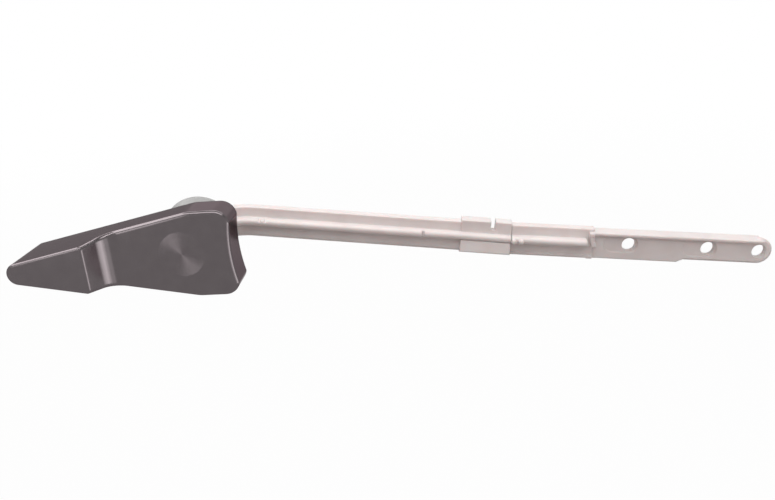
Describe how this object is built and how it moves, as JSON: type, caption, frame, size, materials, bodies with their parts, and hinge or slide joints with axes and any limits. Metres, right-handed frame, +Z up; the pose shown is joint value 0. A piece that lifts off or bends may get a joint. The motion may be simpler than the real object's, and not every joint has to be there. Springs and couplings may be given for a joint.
{
  "type": "cistern lever",
  "caption": "Cistern flush lever: a plated, stepped thumb handle on a spindle that turns in a flanged wall bushing and lifts a long ribbed plastic arm with chain holes.",
  "frame": {"origin": "On the spindle's axis, in the plane of the flange's rear face, which lies against the outside of the tank wall", "axes": "+Y is the spindle's axis, pointing into the tank; +X runs along the lever towards the arm's end; +Z is up, with the handle level"},
  "size_m": [0.2662, 0.059, 0.0451],
  "materials": {
    "plated_metal": "polished dark nickel plating on a zinc casting",
    "arm_plastic": "moulded, satin",
    "bushing_plastic": "moulded, matt",
    "steel": "zinc plated"
  },
  "bodies": {
    "bushing": {"mounting_bushing": "bushing_plastic", "mounting_nut": "bushing_plastic"},
    "lever": {"handle": "plated_metal", "lever_arm": "arm_plastic", "end_arm": "arm_plastic", "arm_screw": "steel"}
  },
  "joints": [
    {"name": "lever_turn", "type": "hinge", "parent": "bushing", "child": "lever", "pos_m": [0, 0, 0], "axis": [0, -1, 0], "range_deg": [0, 30]}
  ]
}
